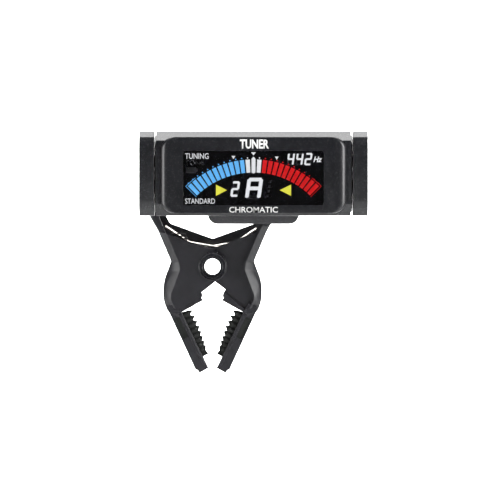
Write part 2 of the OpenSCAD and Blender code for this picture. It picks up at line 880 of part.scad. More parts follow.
front_housing();
rear_housing();
display_lens();
lcd_panel();
lcd_frame();
backlight_guide();
main_board();
board_chips();
tact_switches();
board_screws();
housing_screws();
piezo_plate();
piezo_ceramic();
piezo_leads();
battery_cell();
battery_plus_contact();
battery_minus_spring();
battery_cover();
power_button();
mode_button();
calibration_down_button();
calibration_up_button();
left_hinge_pin();
right_hinge_pin();
hinge_spring_washers();
yoke_frame();
left_arm_cover();
right_arm_cover();
swivel_cap();
swivel_screw();
swivel_spring_washer();
swivel_friction_washer();
right_jaw();
left_jaw();
right_pad();
left_pad();
pivot_sleeve();
torsion_spring();
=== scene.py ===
import json
import math

import bmesh
import bpy
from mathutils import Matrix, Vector


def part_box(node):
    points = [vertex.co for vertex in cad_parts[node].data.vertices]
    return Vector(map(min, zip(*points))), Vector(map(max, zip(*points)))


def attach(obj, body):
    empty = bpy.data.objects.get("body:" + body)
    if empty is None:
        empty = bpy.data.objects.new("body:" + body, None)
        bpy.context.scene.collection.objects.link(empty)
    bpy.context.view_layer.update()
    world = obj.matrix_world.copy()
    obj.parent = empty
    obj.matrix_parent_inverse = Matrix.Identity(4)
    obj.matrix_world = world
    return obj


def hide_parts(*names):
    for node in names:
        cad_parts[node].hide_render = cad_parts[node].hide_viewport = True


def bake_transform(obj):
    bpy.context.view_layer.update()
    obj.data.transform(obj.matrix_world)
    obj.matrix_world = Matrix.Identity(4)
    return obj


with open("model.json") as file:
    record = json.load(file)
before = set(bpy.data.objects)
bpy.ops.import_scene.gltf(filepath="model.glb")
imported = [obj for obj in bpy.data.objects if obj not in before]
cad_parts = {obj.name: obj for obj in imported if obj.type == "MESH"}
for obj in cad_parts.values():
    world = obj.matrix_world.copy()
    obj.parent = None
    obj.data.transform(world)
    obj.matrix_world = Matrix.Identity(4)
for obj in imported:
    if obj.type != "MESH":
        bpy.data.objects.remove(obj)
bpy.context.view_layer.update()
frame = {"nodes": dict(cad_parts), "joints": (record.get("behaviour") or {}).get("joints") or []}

MM = 0.001

# ---------------------------------------------------------------- places, in millimetres, from the frame
joints = {j["name"]: j for j in frame["joints"]}
PIVOT_Z = joints["jaw_pivot"]["pos_m"][2] / MM
HEAD = Vector(joints["display_tilt"]["pos_m"]) / MM
SWIVEL = Vector(joints["clip_swivel"]["pos_m"]) / MM
FACE_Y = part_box("front_housing")[0][1] / MM
AT_PIVOT = (0, 0, PIVOT_Z)
PLATE_OUT = 7.0
PLATE_IN = 5.5
EAR_OUT = 5.35
EAR_IN = 3.95
ARM_Y = 6.4
PAD_Y = 5.2
THROUGH = 9  # past both faces of the clip


# ---------------------------------------------------------------- outlines
def bend(a, b, c, radius, steps):
    """The corner b of the path a-b-c as points on an arc."""
    u = (a - b).normalized()
    w = (c - b).normalized()
    half = math.acos(max(-1, min(1, u.dot(w)))) / 2
    centre = b + (u + w).normalized() * radius / math.sin(half)
    p = b + u * radius / math.tan(half) - centre
    q = b + w * radius / math.tan(half) - centre
    sweep = math.pi - 2 * half
    points = []
    for k in range(steps + 1):
        f = k / steps
        points.append(centre + (p * math.sin((1 - f) * sweep) + q * math.sin(f * sweep)) / math.sin(sweep))
    return points


def rounded(corners, steps):
    """A closed outline from corners (x, z, radius), each radius an arc of so many steps."""
    points = []
    for i, (x, z, radius) in enumerate(corners):
        corner = Vector((x, z))
        if radius == 0:
            points.append(corner)
            continue
        before = Vector(corners[i - 1][:2])
        after = Vector(corners[(i + 1) % len(corners)][:2])
        points += bend(before, corner, after, radius, steps)
    return points


def circle(x, z, r, steps):
    angles = [2 * math.pi * k / steps for k in range(steps)]
    return [Vector((x + r * math.cos(a), z + r * math.sin(a))) for a in angles]


def mirrored(outline, side):
    """The left jaw's outline for side -1, its mirror image for side 1."""
    return [Vector((-side * p[0], p[1])) for p in outline]


def between(low, high, f):
    """The outline a fraction f of the way from low to high."""
    return [a + (b - a) * f for a, b in zip(low, high)]


def inset(outline, d):
    """An outline moved inwards by d, whichever way round it runs."""
    turn = sum(a[0] * b[1] - b[0] * a[1] for a, b in zip(outline, outline[1:] + outline[:1]))
    d = d if turn > 0 else -d
    moved = []
    for i, b in enumerate(outline):
        u = (Vector(b) - Vector(outline[i - 1])).normalized()
        w = (Vector(outline[(i + 1) % len(outline)]) - Vector(b)).normalized()
        nu, nw = Vector((-u.y, u.x)), Vector((-w.y, w.x))
        moved.append(Vector(b) + (nu + nw) * d / max(0.4, 1 + nu.dot(nw)))
    return moved


# ---------------------------------------------------------------- meshes
def new_object(name, bm):
    mesh = bpy.data.meshes.new(name)
    bm.to_mesh(mesh)
    bm.free()
    obj = bpy.data.objects.new(name, mesh)
    bpy.context.scene.collection.objects.link(obj)
    return obj


def skin_ring(bm, low, high):
    """Faces between two rings of as many points each."""
    for i in range(len(low)):
        j = (i + 1) % len(low)
        bm.faces.new((low[i], low[j], high[j], high[i]))


def cap_ends(bm, first, final):
    bm.faces.new(list(reversed(first)))
    bm.faces.new(final)


def loft(name, levels, at=(0, 0, 0)):
    """A closed skin through outlines, each (y, outline in XZ), in millimetres about the point at."""
    bm = bmesh.new()
    rings = []
    for y, outline in levels:
        rings.append([bm.verts.new((Vector((p[0], y, p[1])) + Vector(at)) * MM) for p in outline])
    for low, high in zip(rings, rings[1:]):
        skin_ring(bm, low, high)
    cap_ends(bm, rings[0], rings[-1])
    bmesh.ops.recalc_face_normals(bm, faces=bm.faces)
    return new_object(name, bm)


def prism(name, outline, y0, y1, at=(0, 0, 0)):
    return loft(name, [(y0, outline), (y1, outline)], at=at)


def box(name, low, high, at=(0, 0, 0)):
    outline = [(low[0], low[2]), (high[0], low[2]), (high[0], high[2]), (low[0], high[2])]
    return prism(name, outline, low[1], high[1], at)


def rod(name, x, z, r, y0, y1, at=AT_PIVOT):
    return prism(name, circle(x, z, r, 72), y0, y1, at)


def lathe_y(name, profile):
    """A ring about the pivot's axis from a closed profile of (y, radius)."""
    steps = 96
    bm = bmesh.new()
    rings = []
    for k in range(steps):
        a = 2 * math.pi * k / steps
        places = [Vector((r * math.cos(a), y, r * math.sin(a))) + Vector(AT_PIVOT) for y, r in profile]
        rings.append([bm.verts.new(place * MM) for place in places])
    for k in range(steps):
        skin_ring(bm, rings[k], rings[(k + 1) % steps])
    bmesh.ops.recalc_face_normals(bm, faces=bm.faces)
    return new_object(name, bm)


def tube(name, points, r):
    """A round wire along points, its ends closed."""
    sides = 14
    angles = [2 * math.pi * k / sides for k in range(sides)]
    bm = bmesh.new()
    rings = []
    normal = None
    for i, point in enumerate(points):
        tangent = (points[min(i + 1, len(points) - 1)] - points[max(i - 1, 0)]).normalized()
        if normal is None:
            normal = tangent.orthogonal().normalized()
        normal = (normal - tangent * normal.dot(tangent)).normalized()
        other = tangent.cross(normal)
        places = [point + r * (math.cos(a) * normal + math.sin(a) * other) for a in angles]
        rings.append([bm.verts.new(place * MM) for place in places])
    for low, high in zip(rings, rings[1:]):
        skin_ring(bm, low, high)
    cap_ends(bm, rings[0], rings[-1])
    bmesh.ops.recalc_face_normals(bm, faces=bm.faces)
    obj = new_object(name, bm)
    for face in obj.data.polygons:
        face.use_smooth = len(face.vertices) == 4
    return obj


def delete(obj):
    bpy.data.objects.remove(obj, do_unlink=True)


def combine(obj, other, operation):
    """Applies a boolean of obj with other, and deletes other."""
    modifier = obj.modifiers.new("boolean", "BOOLEAN")
    modifier.operation = operation
    modifier.object = other
    modifier.solver = "EXACT"
    applied = bpy.data.meshes.new_from_object(obj.evaluated_get(bpy.context.evaluated_depsgraph_get()))
    obj.modifiers.clear()
    obj.data = applied
    delete(other)
    return obj


def union(obj, *others):
    for other in others:
        combine(obj, other, "UNION")
    return obj


def cut(obj, *others):
    for other in others:
        combine(obj, other, "DIFFERENCE")
    return obj


def join(obj, others):
    """Adds separate closed shells to obj's mesh."""
    bm = bmesh.new()
    bm.from_mesh(obj.data)
    for other in others:
        bm.from_mesh(other.data)
        delete(other)
    bm.to_mesh(obj.data)
    bm.free()
    return obj


def soften(obj, width):
    """Rounds sharp edges by width, and shades gentle ones smooth, fewer of them beside large faces."""
    sharp, gentle, gentle_beside_large = (math.radians(turn) for turn in (28, 44, 12))
    large = 1.0 * MM * MM
    bm = bmesh.new()
    bm.from_mesh(obj.data)
    bmesh.ops.remove_doubles(bm, verts=bm.verts, dist=0.002 * MM)
    bmesh.ops.dissolve_limit(
        bm, angle_limit=math.radians(0.6), verts=bm.verts, edges=bm.edges, delimit=set(),
        use_dissolve_boundaries=False,
    )
    edges = [edge for edge in bm.edges if len(edge.link_faces) == 2 and edge.calc_face_angle() > sharp]
    if width:
        bmesh.ops.bevel(
            bm, geom=edges, offset=width * MM, offset_type="OFFSET", segments=2, profile=0.5,
            affect="EDGES", clamp_overlap=True, loop_slide=True,
        )
    for face in bm.faces:
        face.smooth = True
    for edge in bm.edges:
        if len(edge.link_faces) != 2:
            edge.smooth = False
            continue
        beside_large = max(face.calc_area() for face in edge.link_faces) > large
        edge.smooth = edge.calc_face_angle() < (gentle_beside_large if beside_large else gentle)
    bm.to_mesh(obj.data)
    bm.free()
    return obj


def refined(node, width):
    """A copy of a CAD node with rounded edges, which stands for it."""
    source = frame["nodes"][node]
    obj = bpy.data.objects.new(node + "_skin", source.data.copy())
    bpy.context.scene.collection.objects.link(obj)
    soften(obj, width)
    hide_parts(node)
    return obj


def finish_piece(obj, body, material):
    obj.data.materials.clear()
    obj.data.materials.append(material)
    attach(obj, body)
    return obj


# ---------------------------------------------------------------- materials
def new_material(name, color, roughness, metallic=0.0):
    material = bpy.data.materials.new(name)
    material.use_nodes = True
    shader = material.node_tree.nodes["Principled BSDF"]
    shader.inputs["Base Color"].default_value = (*color, 1)
    shader.inputs["Roughness"].default_value = roughness
    shader.inputs["Metallic"].default_value = metallic
    return material, material.node_tree.nodes, material.node_tree.links, shader


def noise(nodes, links, scale, detail):
    coordinates = nodes.new("ShaderNodeTexCoord")
    texture = nodes.new("ShaderNodeTexNoise")
    texture.inputs["Scale"].default_value = scale
    texture.inputs["Detail"].default_value = detail
    links.new(coordinates.outputs["Object"], texture.inputs["Vector"])
    return texture


def ramp(nodes, links, source, stops):
    node = nodes.new("ShaderNodeValToRGB")
    while len(node.color_ramp.elements) < len(stops):
        node.color_ramp.elements.new(0.5)
    for element, (position, color) in zip(node.color_ramp.elements, stops):
        element.position = position
        element.color = (*color, 1)
    links.new(source, node.inputs["Fac"])
    return node


def spread(nodes, links, source, low, high):
    node = nodes.new("ShaderNodeMapRange")
    node.inputs["To Min"].default_value = low
    node.inputs["To Max"].default_value = high
    links.new(source, node.inputs["Value"])
    return node


def bump(nodes, links, shader, source, strength, distance):
    node = nodes.new("ShaderNodeBump")
    node.inputs["Strength"].default_value = strength
    node.inputs["Distance"].default_value = distance * MM
    links.new(source, node.inputs["Height"])
    links.new(node.outputs["Normal"], shader.inputs["Normal"])


def moulded_plastic(name, color, roughness, grain=0.03, flecks=None):
    """Moulded plastic with a fine grain, slow mottling, and optional sparkling flecks."""
    material, nodes, links, shader = new_material(name, color, roughness)
    fine = noise(nodes, links, 5200, 2)
    slow = noise(nodes, links, 160, 3)
    dark = tuple(c * 0.86 for c in color)
    light = tuple(c * 1.16 for c in color)
    tone = ramp(nodes, links, slow.outputs["Fac"], [(0.35, dark), (0.65, light)])
    base = tone.outputs["Color"]
    if flecks:
        cells = nodes.new("ShaderNodeTexVoronoi")
        cells.inputs["Scale"].default_value = 3600
        coordinates = nodes.new("ShaderNodeTexCoord")
        links.new(coordinates.outputs["Object"], cells.inputs["Vector"])
        pick = nodes.new("ShaderNodeSeparateColor")
        links.new(cells.outputs["Color"], pick.inputs["Color"])
        mask = ramp(nodes, links, pick.outputs["Red"], [(0.8, (0, 0, 0)), (0.99, (1, 1, 1))])
        mixed = nodes.new("ShaderNodeMix")
        mixed.data_type = "RGBA"
        links.new(mask.outputs["Color"], mixed.inputs["Factor"])
        links.new(base, mixed.inputs["A"])
        mixed.inputs["B"].default_value = (*flecks, 1)
        base = mixed.outputs["Result"]
    links.new(base, shader.inputs["Base Color"])
    rough = spread(nodes, links, fine.outputs["Fac"], roughness - 0.06, roughness + 0.08)
    links.new(rough.outputs["Result"], shader.inputs["Roughness"])
    bump(nodes, links, shader, fine.outputs["Fac"], 0.35, grain)
    return material


def rubber_material():
    material, nodes, links, shader = new_material("pad_rubber", (0.012, 0.0135, 0.012), 0.78)
    fine = noise(nodes, links, 2600, 4)
    stops = [(0.3, (0.008, 0.009, 0.008)), (0.75, (0.02, 0.022, 0.02))]
    tone = ramp(nodes, links, fine.outputs["Fac"], stops)
    links.new(tone.outputs["Color"], shader.inputs["Base Color"])
    bump(nodes, links, shader, fine.outputs["Fac"], 0.5, 0.05)
    return material


def metal(name, color, roughness):
    material, nodes, links, shader = new_material(name, color, roughness, 1.0)
    fine = noise(nodes, links, 1800, 2)
    rough = spread(nodes, links, fine.outputs["Fac"], roughness * 0.7, roughness * 1.4)
    links.new(rough.outputs["Result"], shader.inputs["Roughness"])
    bump(nodes, links, shader, fine.outputs["Fac"], 0.15, 0.01)
    return material


def glow(name, color, strength=1.0):
    """A lit part of the screen, its colour slightly uneven, as a backlight's is."""
    material, nodes, links, shader = new_material(name, tuple(c * 0.2 for c in color), 0.35)
    slow = noise(nodes, links, 300, 1)
    dimmer = tuple(c * 0.92 for c in color)
    tone = ramp(nodes, links, slow.outputs["Fac"], [(0.3, dimmer), (0.7, color)])
    links.new(tone.outputs["Color"], shader.inputs["Emission Color"])
    shader.inputs["Emission Strength"].default_value = strength
    return material


def srgb(r, g, b):
    """A screen colour of 0 to 255 as linear values."""
    shares = [c / 255 for c in (r, g, b)]
    return tuple(c / 12.92 if c <= 0.04045 else ((c + 0.055) / 1.055) ** 2.4 for c in shares)


def cell_material():
    """A battery's printed jacket: bands along its length under a clear gloss."""
    material, nodes, links, shader = new_material("cell_jacket", (0.5, 0.3, 0.1), 0.25)
    coordinates = nodes.new("ShaderNodeTexCoord")
    parts = nodes.new("ShaderNodeSeparateXYZ")
    links.new(coordinates.outputs["Object"], parts.inputs["Vector"])
    place = nodes.new("ShaderNodeMapRange")
    cell_start, cell_end = HEAD.x - 22, HEAD.x + 22.8
    place.inputs["From Min"].default_value = cell_start * MM
    place.inputs["From Max"].default_value = cell_end * MM
    links.new(parts.outputs["X"], place.inputs["Value"])
    black, copper, steel = (0.012, 0.012, 0.014), (0.45, 0.22, 0.07), (0.6, 0.6, 0.6)
    stops = [(0.0, steel), (0.02, black), (0.68, copper), (0.965, steel)]
    bands = ramp(nodes, links, place.outputs["Result"], stops)
    bands.color_ramp.interpolation = "CONSTANT"
    links.new(bands.outputs["Color"], shader.inputs["Base Color"])
    fine = noise(nodes, links, 900, 2)
    rough = spread(nodes, links, fine.outputs["Fac"], 0.18, 0.34)
    links.new(rough.outputs["Result"], shader.inputs["Roughness"])
    return material


def board_material():
    """Solder mask with lighter tracks under it."""
    material, nodes, links, shader = new_material("board_green", (0.01, 0.09, 0.03), 0.35)
    coordinates = nodes.new("ShaderNodeTexCoord")
    tracks = nodes.new("ShaderNodeTexBrick")
    tracks.inputs["Scale"].default_value = 420
    tracks.inputs["Mortar Size"].default_value = 0.06
    tracks.inputs["Color1"].default_value = (0.008, 0.07, 0.024, 1)
    tracks.inputs["Color2"].default_value = (0.01, 0.085, 0.03, 1)
    tracks.inputs["Mortar"].default_value = (0.03, 0.19, 0.07, 1)
    turn = nodes.new("ShaderNodeMapping")
    turn.inputs["Rotation"].default_value = (math.radians(90), 0, 0)
    links.new(coordinates.outputs["Object"], turn.inputs["Vector"])
    links.new(turn.outputs["Vector"], tracks.inputs["Vector"])
    links.new(tracks.outputs["Color"], shader.inputs["Base Color"])
    bump(nodes, links, shader, tracks.outputs["Fac"], 0.3, 0.03)
    return material


def lens_material():
    material, nodes, links, shader = new_material("lens_glass", (0.93, 0.94, 0.95), 0.03)
    shader.inputs["Transmission Weight"].default_value = 1.0
    shader.inputs["IOR"].default_value = 1.25
    slow = noise(nodes, links, 120, 2)
    rough = spread(nodes, links, slow.outputs["Fac"], 0.01, 0.04)
    links.new(rough.outputs["Result"], shader.inputs["Roughness"])
    return material


HOUSING = moulded_plastic("housing_plastic", (0.0062, 0.0066, 0.0086), 0.29, 0.015, (0.03, 0.03, 0.034))
YOKE_BAR = moulded_plastic("yoke_bar_plastic", (0.04, 0.04, 0.044), 0.5, 0.03, (0.06, 0.06, 0.064))
CLIP = moulded_plastic("clip_plastic", (0.0115, 0.011, 0.0145), 0.4, 0.015)
SLEEVE = moulded_plastic("sleeve_plastic", (0.012, 0.012, 0.015), 0.2, 0.006)
BUTTON = moulded_plastic("button_plastic", (0.018, 0.018, 0.021), 0.5, 0.03)
RUBBER = rubber_material()
STEEL = metal("pin_steel", (0.55, 0.55, 0.56), 0.3)
CONTACT = metal("contact_metal", (0.68, 0.67, 0.64), 0.28)
SPRING = metal("spring_steel", (0.8, 0.76, 0.7), 0.38)
BRASS = metal("piezo_brass", (0.66, 0.46, 0.17), 0.3)
LCD = moulded_plastic("lcd_black", (0.003, 0.0028, 0.0045), 0.12, 0.002)
FRAME_WHITE = moulded_plastic("frame_white", (0.6, 0.6, 0.57), 0.5)
GUIDE = moulded_plastic("light_guide", (0.7, 0.72, 0.74), 0.2, 0.005)
CHIP = moulded_plastic("chip_black", (0.012, 0.012, 0.013), 0.5)
SWITCH = moulded_plastic("switch_body", (0.3, 0.28, 0.22), 0.45)
CERAMIC = moulded_plastic("piezo_ceramic", (0.72, 0.7, 0.62), 0.5)
WIRE_RED = moulded_plastic("wire_red", (0.4, 0.01, 0.01), 0.45)
NYLON = moulded_plastic("washer_nylon", (0.6, 0.59, 0.54), 0.45)
PRINT = moulded_plastic("white_print", (0.72, 0.72, 0.71), 0.5, 0.01)
CELL = cell_material()
BOARD = board_material()
LENS = lens_material()
GHOST = moulded_plastic("lcd_unlit", (0.011, 0.0115, 0.0145), 0.4, 0.004)
BLUE = glow("lcd_blue", srgb(98, 178, 240))
RED = glow("lcd_red", srgb(205, 10, 15))
WHITE = glow("lcd_white", srgb(222, 223, 225), 1.05)
YELLOW = glow("lcd_yellow", srgb(222, 218, 70))


# ---------------------------------------------------------------- camera, light, floor
def make_camera():
    """A long lens straight ahead of the object, which sees a width of 157.2 mm at the head's front."""
    data = bpy.data.cameras.new("camera")
    camera = bpy.data.objects.new("camera", data)
    bpy.context.scene.collection.objects.link(camera)
    front = HEAD.y - 7
    distance = 1500
    seen = 157.2
    right_of_head, below_head = -1.1, 24.1
    data.sensor_width = 36
    data.lens = data.sensor_width * distance / seen
    data.clip_end = 20
    camera.location = Vector((HEAD.x + right_of_head, front - distance, HEAD.z - below_head)) * MM
    camera.rotation_euler = (math.radians(90), 0, 0)
    bpy.context.scene.camera = camera


def area_light(name, place, target, size, power, spread=180):
    data = bpy.data.lights.new(name, "AREA")
    data.shape = "RECTANGLE"
    data.size, data.size_y = (s * MM for s in size)
    data.energy = power
    data.spread = math.radians(spread)
    light = bpy.data.objects.new(name, data)
    bpy.context.scene.collection.objects.link(light)
    light.location = Vector(place) * MM
    direction = (Vector(target) - Vector(place)).normalized()
    light.rotation_euler = direction.to_track_quat("-Z", "Y").to_euler()


def make_studio():
    """Soft lights round the object, a white backdrop that only the camera sees, and a dim room."""
    middle = (10, -10, 25)
    area_light("top_light", (10, -35, 700), middle, (900, 260), 9)
    area_light("left_light", (-720, -400, 0), middle, (320, 600), 5.5)
    area_light("right_light", (700, -400, 220), middle, (320, 500), 6.5)
    area_light("back_light", (0, 900, 700), middle, (1600, 600), 4)
    area_light("floor_light", (0, 700, 1200), (0, 2000, 60), (1600, 500), 60, spread=110)
    world = bpy.data.worlds.new("world")
    bpy.context.scene.world = world
    world.use_nodes = True
    nodes, links = world.node_tree.nodes, world.node_tree.links
    room = nodes["Background"]
    room.inputs["Color"].default_value = (1, 1, 1, 1)
    room.inputs["Strength"].default_value = 0.05
    backdrop = nodes.new("ShaderNodeBackground")
    backdrop.inputs["Color"].default_value = (0.965, 0.98, 0.965, 1)
    backdrop.inputs["Strength"].default_value = 1.0
    path = nodes.new("ShaderNodeLightPath")
    mixed = nodes.new("ShaderNodeMixShader")
    links.new(path.outputs["Is Camera Ray"], mixed.inputs["Fac"])
    links.new(room.outputs["Background"], mixed.inputs[1])
    links.new(backdrop.outputs["Background"], mixed.inputs[2])
    links.new(mixed.outputs["Shader"], nodes["World Output"].inputs["Surface"])
    bpy.context.scene.view_settings.view_transform = "Standard"


def make_floor():
    """A pale floor that sweeps up behind the object, well below and behind it."""
    bm = bmesh.new()
    half, near, far, floor_z, radius, top_z, steps = 3.0, -3.0, 1.2, -0.09, 0.8, 3.0, 16
    profile = [(near, floor_z)]
    for k in range(steps + 1):
        a = math.radians(90 * k / steps)
        profile.append((far + radius * math.sin(a), floor_z + radius * (1 - math.cos(a))))
    profile.append((far + radius, top_z))
    rows = [[bm.verts.new((x, y, z)) for y, z in profile] for x in (-half, half)]
    for i in range(len(profile) - 1):
        bm.faces.new((rows[0][i], rows[1][i], rows[1][i + 1], rows[0][i + 1]))
    floor = new_object("floor", bm)
    for face in floor.data.polygons:
        face.use_smooth = True
    material, nodes, links, shader = new_material("floor_paint", (0.9, 0.905, 0.9), 0.8)
    slow = noise(nodes, links, 3, 2)
    stops = [(0.3, (0.895, 0.9, 0.895)), (0.7, (0.905, 0.91, 0.905))]
    tone = ramp(nodes, links, slow.outputs["Fac"], stops)
    links.new(tone.outputs["Color"], shader.inputs["Base Color"])
    floor.data.materials.append(material)


make_camera()
make_studio()
make_floor()


# ---------------------------------------------------------------- jaws
# Outlines are the left jaw's, about the pivot. Those along an arm are (along it, across it, radius).
def shell_outline(outer):
    """A jaw's outline above its arm, from its outer edge; the inner edge is the same at every level."""
    inner = [
        (-9.8, -13.9, 0), (-4.1, -8.8, 0.3), (-3.4, -8.2, 0), (0.8, -4.9, 0.2), (3, -3, 0),
        (4, 2, 0), (2.2, 6.5, 0), (0.4, 8.8, 0), (-13.8, 13.9, 2), (-17.9, 21.7, 0),
    ]
    return rounded(outer + inner, 10)


HANDLE_EDGE = [(-22.6, 20.5, 1), (-17.3, 11.1, 20), (-13.3, 1.7, 1.2)]
SILHOUETTE = shell_outline(HANDLE_EDGE + [(-14.6, -1.7, 6), (-17.1, -8.4, 15), (-14.4, -14.2, 0)])
CHAMFER_EDGE = shell_outline(HANDLE_EDGE + [(-13.4, -1.6, 3), (-16.7, -9.2, 10), (-14.4, -14.2, 0)])
PLATE_EDGE = shell_outline([
    (-20, 20.5, 1), (-14.4, 10.2, 20), (-10.6, 1.2, 1.5), (-10.2, -1, 2), (-13.5, -10, 3), (-12, -13.2, 0),
])
CAVITY = [
    (-20.4, 24), (-15, 10.6), (-11, 1.2), (-11.2, -1.6), (-13.6, -9), (-12.4, -12),
    (-9.8, -13), (-4.2, -7.9), (-3.6, -9.5), (12, -9.5), (12, 26),
]
REAR_LOBE = [(-2, 7), (0.43, 8.78), (2.4, 6.5), (4.3, 1.8), (0, 0)]
PAST_PIVOT = [(2, -12), (12, -12), (12, 12), (0.5, 8.7), (0.5, 0), (0.7, -4.8)]


def arm_point(s, t):
    """The place s along the left arm and t across it, towards the pad."""
    return Vector((-14.84, -13.33)) + s * Vector((0.431, -0.902)) + t * Vector((0.902, 0.431))


def arm_outline(points, steps=5):
    return rounded([(*arm_point(s, t), r) for s, t, r in points], steps)


ARM_WINDOW = arm_outline([(4.2, 0.65, 0.25), (4.2, 2.5, 0.25), (11.4, 2.5, 0.25), (11.4, 0.65, 0.25)])


def slab(name, outline, y0, y1, side, edge=0.0):
    """A plate of the clip between y0 and y1, with its rims eased by edge."""
    outline = mirrored(outline, side)
    if not edge:
        return prism(name, outline, y0, y1, AT_PIVOT)
    small = inset(outline, edge)
    partly = edge * 0.3
    wider = inset(outline, partly)
    levels = [
        (y0, small), (y0 + partly, wider), (y0 + edge, outline),
        (y1 - edge, outline), (y1 - partly, wider), (y1, small),
    ]
    return loft(name, levels, at=AT_PIVOT)


def jaw_shell(name, side):
    """The solid outer form of a jaw: plates, chamfers that round over, and the rim between them."""
    chamfer = ((-PLATE_OUT, 0.03), (-6.93, 0.09), (-6.2, 0.46), (-5.3, 0.88))
    levels = [(y, between(PLATE_EDGE, CHAMFER_EDGE, f)) for y, f in chamfer]
    levels += [(-4.9, CHAMFER_EDGE), (-4.2, between(CHAMFER_EDGE, SILHOUETTE, 0.75)), (-3.5, SILHOUETTE)]
    levels += [(-y, outline) for y, outline in reversed(levels)]
    return loft(name, [(y, mirrored(outline, side)) for y, outline in levels], at=AT_PIVOT)


def arm_pieces(side):
    """The arm below the ears: bar with a stepped tip, cuff, shelf over the pad, and rib beside it."""
    bar = arm_outline([
        (-0.5, 0.3, 0.3), (-0.3, 3.6, 0.3), (2.9, 3.9, 0), (22.8, 3.9, 0),
        (23.05, 4.25, 0), (23.3, 0.6, 0.3), (22.3, 0.6, 0), (21.7, 0, 0.3),
    ])
    cuff = arm_outline([
        (-0.4, 0.3, 0.3), (-0.2, 3.6, 0.3), (3.2, 3.9, 0.25), (3.5, 2.7, 0.3), (1.6, 0.15, 0.3),
    ])
    shelf = arm_outline([
        (2.35, 3.6, 0), (0.2, 11.45, 0), (0.35, 12.4, 0.2), (1.4, 12.2, 0.2),
        (2, 11.5, 0.2), (2.8, 11.9, 0.2), (3.2, 5.9, 0), (3.3, 3.6, 0),
    ])
    rib = arm_outline([(3.7, 2.8, 0.2), (3.7, 3.7, 0.2), (21.5, 3.7, 0.2), (21.5, 2.8, 0.2)])
    body = slab("bar", bar, -ARM_Y, ARM_Y, side, 0.15)
    union(body, slab("cuff", cuff, -ARM_Y - 0.35, ARM_Y + 0.35, side, 0.15))
    union(body, slab("shelf", shelf, -ARM_Y + 0.02, ARM_Y - 0.02, side, 0.12))
    union(body, slab("rib", rib, -ARM_Y - 0.25, ARM_Y + 0.25, side, 0.1))
    for y in (-ARM_Y, ARM_Y):
        cut(body, slab("window", ARM_WINDOW, y - 1, y + 1, side))
    return body


def add_parts(jaw, bore, parts):
    """Bores the jaw, eases its edges, and adds the parts that stand on it, bored and eased too."""
    cut(jaw, rod("bore", 0, 0, bore, -THROUGH, THROUGH))
    soften(jaw, 0.12)
    for part in parts:
        soften(part, 0.08)
    return join(jaw, parts)


def lobes(side, inner, outer, bore):
    """Discs round the pivot on both plates, and the web behind the pivot, a hair off the plates' faces."""
    radius, off = 4.7, 0.01
    parts = [
        rod("lobe", 0, 0, radius, -outer + off, -inner + off),
        rod("lobe", 0, 0, radius, inner - off, outer - off),
        slab("rear_lobe", REAR_LOBE, inner - 2 * off, outer - 2 * off, side),
    ]
    return [cut(part, rod("bore", 0, 0, bore, -THROUGH, THROUGH)) for part in parts]


def make_left_jaw():
    """The jaw that opens: its plates stand outside the other's, and three ribs cross its handle."""
    side, bore = -1, 3.45
    jaw = jaw_shell("left_jaw_skin", side)
    cut(jaw, slab("cavity", CAVITY, -PLATE_IN, PLATE_IN, side))
    opening = rounded([
        (-1.7, 6.05, 1.2), (-15.2, 10.7, 0.6), (-26, 13, 0), (-26, 26, 0), (8, 26, 0), (8, 6.05, 0),
    ], 6)
    cut(jaw, slab("opening", opening, -THROUGH, -PLATE_IN, side))
    cut(jaw, slab("past", PAST_PIVOT, -THROUGH, THROUGH, side))
    parts = lobes(side, PLATE_IN, PLATE_OUT, bore) + [arm_pieces(side)]
    rib_back, rib_z, rib_tall, rib_pitch = -3.3, 8.75, 0.4, 0.75
    for i in range(3):
        low = (-15.4, -PLATE_IN - 0.07, rib_z + rib_pitch * i)
        high = (-8.3 - 0.1 * i, rib_back, rib_z + rib_tall + rib_pitch * i)
        parts.append(box("handle_rib", low, high, AT_PIVOT))
    parts.append(box("rib_post", (-8.5, -PLATE_IN - 0.1, 7.75), (-8.1, rib_back, 9.5), AT_PIVOT))
    return add_parts(jaw, bore, parts)


